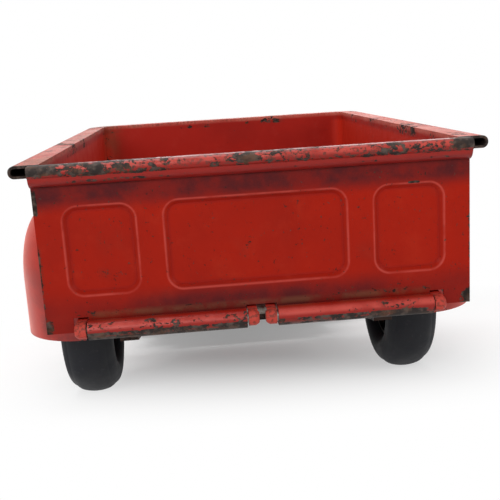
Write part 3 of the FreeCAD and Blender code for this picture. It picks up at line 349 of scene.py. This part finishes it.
def tub_tint(graph, colour):
    """Painted light on the side walls, painted highlight with chalky and speckled paint on the rim's top, a
    brown bloom in the front left corner, and painted shade in the open rear ends of the rim."""
    x, y, z = graph.split(graph.bed_frame())
    reach = graph.math("ABSOLUTE", x)
    cloud = graph.noise(85.0, 5.0, 0.65, seed=46.0)
    lug = graph.step(y, 0.0004, -0.0004)
    # Painted light: the bed's inner side walls below the rim are made a lighter red.
    side = graph.times(graph.step(reach, 0.0440, 0.0485), graph.step(z, 0.0385, 0.0370, 0.0, 0.75))
    colour = graph.mix(side, colour, PAINT_LIT_WALL)
    rim_top = graph.step(z, *RIM_TOP_Z)
    # Painted highlight with chalky paint: the rim's top turns pale pink in patches, and the lugs take a
    # little of the same pink.
    top = graph.times(rim_top, graph.step(cloud, 0.34, 0.64, 0.35, 0.80))
    colour = graph.mix(graph.most(top, graph.times(lug, 0.20)), colour, PAINT_CHALK_AND_HIGHLIGHT)
    specks = graph.step(graph.noise(1100.0, 3.0, 0.6, seed=47.0), 0.50, 0.58)
    spread = graph.times(rim_top, graph.step(x, 0.030, -0.030, 0.25, 0.55))
    specks = graph.times(specks, graph.most(spread, graph.times(lug, 0.60)))
    colour = graph.mix(specks, colour, PRIMER_BROWN)
    stain = graph.times(graph.step(cloud, 0.46, 0.62), graph.step(x, 0.030, -0.030, 0.10, 0.60))
    colour = graph.mix(graph.times(rim_top, stain), colour, DUST)
    bloom = graph.times(graph.step(x, -0.040, -0.048), graph.step(y, 0.138, 0.150))
    colour = graph.mix(graph.times(bloom, graph.step(cloud, 0.36, 0.60, 0.20, 0.55)), colour, DUST)
    # Painted shade: the open rear ends of the rolled rim are made near black.
    hollow_shade = graph.times(graph.band(reach, 0.0506, 0.0565, 0.0001),
                         graph.band(z, 0.0383, 0.0403, 0.0001))
    return graph.mix(hollow_shade, colour, DARK_STEEL_AND_SHADE)


def plain_weight(graph):
    """Wear of a panel that is handled little: its edges, and a few scattered chips, more low down."""
    uneven = graph.uneven(55.0, 0.62, 51.0)
    edge = graph.times(graph.edges(0.0007), graph.add(0.41, uneven))
    _, _, z = graph.split(graph.object)
    scattered = graph.step(graph.noise(48.0, 3.0, 0.6, seed=54.0), 0.44, 0.64, 0.14, 0.43)
    low_down = graph.step(z, 0.045, 0.015, 0.0, 0.07)
    return graph.most(edge, graph.add(scattered, low_down))


def plain_tint(graph, colour):
    """Paint rubbed thin on the edges, and a dark film in patches that thickens low down."""
    _, _, z = graph.split(graph.object)
    cloud = graph.noise(42.0, 6.0, 0.65, seed=56.0)
    film = graph.times(graph.step(z, 0.055, 0.018, 0.20, 0.75), graph.step(cloud, 0.46, 0.66))
    colour = graph.mix(film, colour, GRIME_AND_SHADE)
    rubbed = graph.times(graph.edges(0.0016), graph.step(cloud, 0.30, 0.60, 0.55, 0.15))
    return graph.mix(rubbed, colour, PAINT_RUBBED_AND_HIGHLIGHT)


def wheel_tint(graph, colour):
    """The discs' back, away from their outer side, is made near black."""
    x, _, _ = graph.split(graph.object)
    back = graph.step(graph.math("ABSOLUTE", x), WHEEL_X - 0.0002, WHEEL_X - 0.0008)
    return graph.mix(back, colour, (0.010, 0.009, 0.009))


def frame_weight(graph):
    patches = graph.noise(60.0, 5.0, 0.65, seed=61.0)
    edge = graph.times(graph.edges(0.0010), 0.50)
    return graph.math("MAXIMUM", edge, graph.step(patches, 0.36, 0.62, 0.24, 0.60))


def rubber(name):
    """Old moulded rubber: charcoal, faintly dusty, with a fine grain and scuffs on the tread."""
    graph = Graph(name)
    cloud = graph.noise(90.0, 5.0, 0.65, seed=71.0)
    colour = graph.mix(graph.step(cloud, 0.40, 0.72), (0.0050, 0.0053, 0.0080), (0.0110, 0.0115, 0.0155))
    scuff = graph.step(graph.noise(700.0, 3.0, 0.6, seed=72.0), 0.60, 0.74, 0.0, 0.35)
    colour = graph.mix(scuff, colour, (0.034, 0.034, 0.038))
    grain = graph.bump(graph.noise(1600.0, 3.0, 0.6, seed=73.0), 0.00005, 0.6)
    soft = graph.bump(graph.noise(120.0, 3.0, 0.5, seed=74.0), 0.0002, 0.4, grain)
    return graph.finish(Base_Color=colour, Roughness=graph.step(cloud, 0.30, 0.75, 0.52, 0.74),
                        Specular_IOR_Level=0.28, Normal=soft)


def bare_wire(name):
    """Drawn steel wire: dull grey with brown stains and draw marks along it."""
    graph = Graph(name)
    stain = graph.noise(130.0, 5.0, 0.65, seed=81.0)
    colour = graph.mix(graph.step(stain, 0.40, 0.68), (0.27, 0.25, 0.23), (0.105, 0.066, 0.044))
    rust = graph.step(graph.noise(420.0, 4.0, 0.6, seed=82.0), 0.56, 0.70, 0.0, 0.8)
    colour = graph.mix(rust, colour, RUST)
    lines = graph.noise(500.0, 2.0, 0.5, graph.stretched((0.06, 1.0, 1.0)), seed=83.0)
    return graph.finish(Base_Color=colour, Metallic=graph.step(stain, 0.40, 0.70, 0.9, 0.35),
                        Roughness=graph.step(stain, 0.35, 0.70, 0.34, 0.66),
                        Normal=graph.bump(lines, 0.00004, 0.6))


def plating(name):
    """Thin bright plate, hazed and pitted with age."""
    graph = Graph(name)
    haze = graph.noise(80.0, 5.0, 0.6, seed=91.0)
    pits = graph.step(graph.noise(950.0, 3.0, 0.6, seed=92.0), 0.66, 0.71)
    colour = graph.mix(graph.step(haze, 0.40, 0.75), (0.60, 0.59, 0.57), (0.46, 0.44, 0.41))
    colour = graph.mix(pits, colour, (0.12, 0.07, 0.045))
    roughness = graph.math("MAXIMUM", graph.step(haze, 0.35, 0.75, 0.14, 0.32), graph.times(pits, 0.7))
    return graph.finish(Base_Color=colour, Metallic=graph.blend(pits, 1.0, 0.2), Roughness=roughness,
                        Normal=graph.bump(haze, 0.00012, 0.3))


def clear(name, tint, roughness, transmission):
    """Clear moulded plastic with faint haze and rubbed streaks."""
    graph = Graph(name)
    haze = graph.noise(110.0, 4.0, 0.6, seed=95.0)
    streaks = graph.noise(300.0, 3.0, 0.6, graph.stretched((1.0, 1.0, 0.12)), seed=96.0)
    level = graph.add(graph.step(haze, 0.40, 0.72, roughness, roughness + 0.06),
                      graph.step(streaks, 0.60, 0.72, 0.0, 0.06))
    colour = graph.mix(graph.step(haze, 0.4, 0.75), tint, tuple(0.93 * part for part in tint))
    return graph.finish(Base_Color=colour, Roughness=level, IOR=1.49, Transmission_Weight=transmission,
                        Normal=graph.bump(haze, 0.0001, 0.15))


def knob_plastic(name):
    """Moulded black plastic, polished by handling."""
    graph = Graph(name)
    cloud = graph.noise(160.0, 4.0, 0.6, seed=98.0)
    colour = graph.mix(graph.step(cloud, 0.4, 0.7), (0.012, 0.011, 0.011), (0.030, 0.026, 0.024))
    return graph.finish(Base_Color=colour, Roughness=graph.step(cloud, 0.35, 0.7, 0.16, 0.34),
                        Normal=graph.bump(graph.noise(500.0, 2.0, 0.5, seed=99.0), 0.00004, 0.3))


def wear(material, *names):
    """Gives CAD nodes a material in place of their plain one."""
    for name in names:
        piece = bpy.data.objects[name]
        piece.data.materials.clear()
        piece.data.materials.append(material)


def dress():
    red = (PAINT_RED, PAINT_DEEP_AND_SHADE, PAINT_FADED)
    gate = worn_enamel("enamel_gate", (0.288, 0.0088, 0.0018), (0.190, 0.0070, 0.0030), (0.37, 0.028, 0.010),
                       gate_weight, gate_tint, seed=1.0, fine=2.0, shine=gate_shine, pitted=0.690)
    wear(gate, "tailgate")
    # Painted light: the bed's red is lighter than the gate's, to stand in for more light inside the bed.
    bed = worn_enamel("enamel_bed", (0.345, 0.0115, 0.0050), *red[1:], tub_weight, tub_tint, seed=2.0,
                      gloss=0.44)
    wear(bed, "bed_tub")
    # Painted highlight: the rear fenders' red is lighter and pinker than the body's, to stand in for the
    # light on their sides.
    fender = worn_enamel("enamel_fender_lit", (0.390, 0.0230, 0.0130), PAINT_DEEP_AND_SHADE, PAINT_FADED, plain_weight,
                         plain_tint, seed=4.0, shine=0.30, chalk=0.75)
    wear(fender, "rear_fender_left", "rear_fender_right", "wheel_well_left", "wheel_well_right")
    body = worn_enamel("enamel_body", (0.345, 0.0140, 0.0070), PAINT_DEEP_AND_SHADE, PAINT_FADED, plain_weight,
                       plain_tint, seed=7.0, shine=0.30, chalk=0.25)
    wear(body, "cab_shell", "hood", "front_fender_left", "front_fender_right", "bed_underframe")
    wear(worn_enamel("enamel_wheel", *red, plain_weight, wheel_tint, seed=5.0), "wheel_disc_rear_left",
         "wheel_disc_rear_right", "wheel_disc_front_left", "wheel_disc_front_right")
    frame_paint = worn_enamel("enamel_frame", (0.045, 0.026, 0.020), (0.020, 0.014, 0.012),
                              (0.075, 0.045, 0.032), frame_weight, seed=6.0)
    wear(frame_paint, "chassis_frame", "cab_floor")
    wear(rubber("rubber"), "tyre_rear_left", "tyre_rear_right", "tyre_front_left", "tyre_front_right")
    wear(bare_wire("bare_wire"), "tipping_rod", "rear_axle", "front_axle", "gate_hinge_wires",
         "lever_rod", "crank_arm")
    wear(plating("plating"), "axle_caps", "grille", "front_bumper", "headlamp_rim_left",
         "headlamp_rim_right")
    wear(clear("screen", (0.92, 0.95, 0.94), 0.05, 1.0), "windscreen")
    wear(clear("lens", (0.94, 0.94, 0.90), 0.12, 0.6), "headlamp_lens_left", "headlamp_lens_right")
    wear(knob_plastic("knob"), "lever_knob")


def ray_is(graph, *kinds):
    """One for the kinds of ray named."""
    path = graph.node("LightPath")
    total = path.outputs[kinds[0]]
    for kind in kinds[1:]:
        total = graph.math("MAXIMUM", total, path.outputs[kind])
    return total


def make_floor():
    """Pale plain floor that fades to the white background away from the truck; near the truck a white glow
    is mixed in, painted light that lifts its shadow.
    """
    size = 6.0
    mesh = bpy.data.meshes.new("floor")
    corners = [(-size, -size, 0), (size, -size, 0), (size, size, 0), (-size, size, 0)]
    mesh.from_pydata(corners, [], [(0, 1, 2, 3)])
    floor = bpy.data.objects.new("floor", mesh)
    bpy.context.scene.collection.objects.link(floor)
    graph = Graph("floor")
    grain = graph.noise(900.0, 3.0, 0.6, seed=5.0)
    pale = graph.mix(grain, (0.80, 0.80, 0.80), (0.84, 0.84, 0.84))
    diffuse = graph.node("BsdfPrincipled", None, Base_Color=pale, Roughness=0.9, Specular_IOR_Level=0.1)
    white = graph.node("Emission", None, Color=(1.0, 1.0, 1.0), Strength=1.0)
    length = graph.tree.nodes.new("ShaderNodeVectorMath")
    length.operation = "DISTANCE"
    graph.put(length.inputs[0], graph.object)
    graph.put(length.inputs[1], Vector((0.03, 0.08, 0.0)))
    # Painted light: for camera, glossy and transmission rays the floor is a quarter white glow near the
    # truck, which lightens its shadow, and full white beyond 0.23 m from a point at x 0.03 m, y 0.08 m, set
    # so the shadow lifts sooner towards the camera and stays longer to the right.
    far = graph.step(length.outputs["Value"], 0.10, 0.23, 0.25, 1.0)
    seen = ray_is(graph, "Is Camera Ray", "Is Glossy Ray", "Is Transmission Ray")
    mixed = graph.node("MixShader", None, Fac=graph.times(far, seen))
    graph.tree.links.new(diffuse.outputs[0], mixed.inputs[1])
    graph.tree.links.new(white.outputs[0], mixed.inputs[2])
    graph.tree.links.new(mixed.outputs[0], graph.output.inputs[0])
    mesh.materials.append(graph.material)


def make_world():
    """White behind the truck; a plain soft grey for its light."""
    world = bpy.data.worlds.new("world")
    bpy.context.scene.world = world
    world.use_nodes = True
    tree = world.node_tree
    tree.nodes.clear()
    output = tree.nodes.new("ShaderNodeOutputWorld")
    path = tree.nodes.new("ShaderNodeLightPath")
    either = tree.nodes.new("ShaderNodeMath")
    either.operation = "MAXIMUM"
    tree.links.new(path.outputs["Is Camera Ray"], either.inputs[0])
    tree.links.new(path.outputs["Is Transmission Ray"], either.inputs[1])
    ambient = tree.nodes.new("ShaderNodeBackground")
    ambient.inputs["Strength"].default_value = 0.42
    ambient.inputs["Color"].default_value = (1.0, 1.0, 1.0, 1.0)
    white = tree.nodes.new("ShaderNodeBackground")
    white.inputs["Color"].default_value = (1.0, 1.0, 1.0, 1.0)
    mixed = tree.nodes.new("ShaderNodeMixShader")
    tree.links.new(either.outputs[0], mixed.inputs[0])
    tree.links.new(ambient.outputs[0], mixed.inputs[1])
    tree.links.new(white.outputs[0], mixed.inputs[2])
    tree.links.new(mixed.outputs[0], output.inputs[0])


def area_light(name, place, target, size, watts):
    light = bpy.data.lights.new(name, "AREA")
    light.shape = "RECTANGLE"
    light.size, light.size_y = size
    light.energy = watts
    holder = bpy.data.objects.new(name, light)
    holder.location = place
    holder.rotation_euler = (Vector(target) - Vector(place)).to_track_quat("-Z", "Y").to_euler()
    bpy.context.scene.collection.objects.link(holder)


def make_lights():
    area_light("top", (-0.10, -0.10, 0.75), (0.0, -0.02, 0.0), (0.5, 0.6), 4.6)
    area_light("behind_camera", (-0.40, -1.00, 0.30), (0.0, -0.1, 0.02), (0.9, 0.3), 5.0)
    area_light("fill", (0.70, -0.60, 0.30), (0.0, -0.1, 0.03), (0.5, 0.4), 1.6)
    area_light("front", (0.10, 0.80, 0.50), (0.0, 0.0, 0.05), (0.8, 0.5), 2.2)


def make_camera():
    """Low camera close behind the tailgate, a little to its left."""
    gate_foot = GATE_HINGE + Vector((0.0, 0.00226, -0.00056))
    place = gate_foot + Vector((-0.01374, -0.19519, 0.01948))
    forward = Vector((0.0614, 0.9980, -0.0136)).normalized()
    up = Vector((0.0738, 0.0090, 0.9972))
    right = forward.cross(up).normalized()
    up = right.cross(forward)
    camera = bpy.data.cameras.new("camera")
    camera.lens = 57.6
    camera.sensor_width = 36.0
    camera.clip_start = 0.01
    camera.clip_end = 30.0
    holder = bpy.data.objects.new("camera", camera)
    turn = Matrix((right, up, -forward)).transposed()
    holder.matrix_world = Matrix.Translation(place) @ turn.to_4x4()
    bpy.context.scene.collection.objects.link(holder)
    bpy.context.scene.camera = holder


dress()
make_floor()
make_world()
make_lights()
make_camera()
bpy.context.scene.view_settings.view_transform = "Standard"
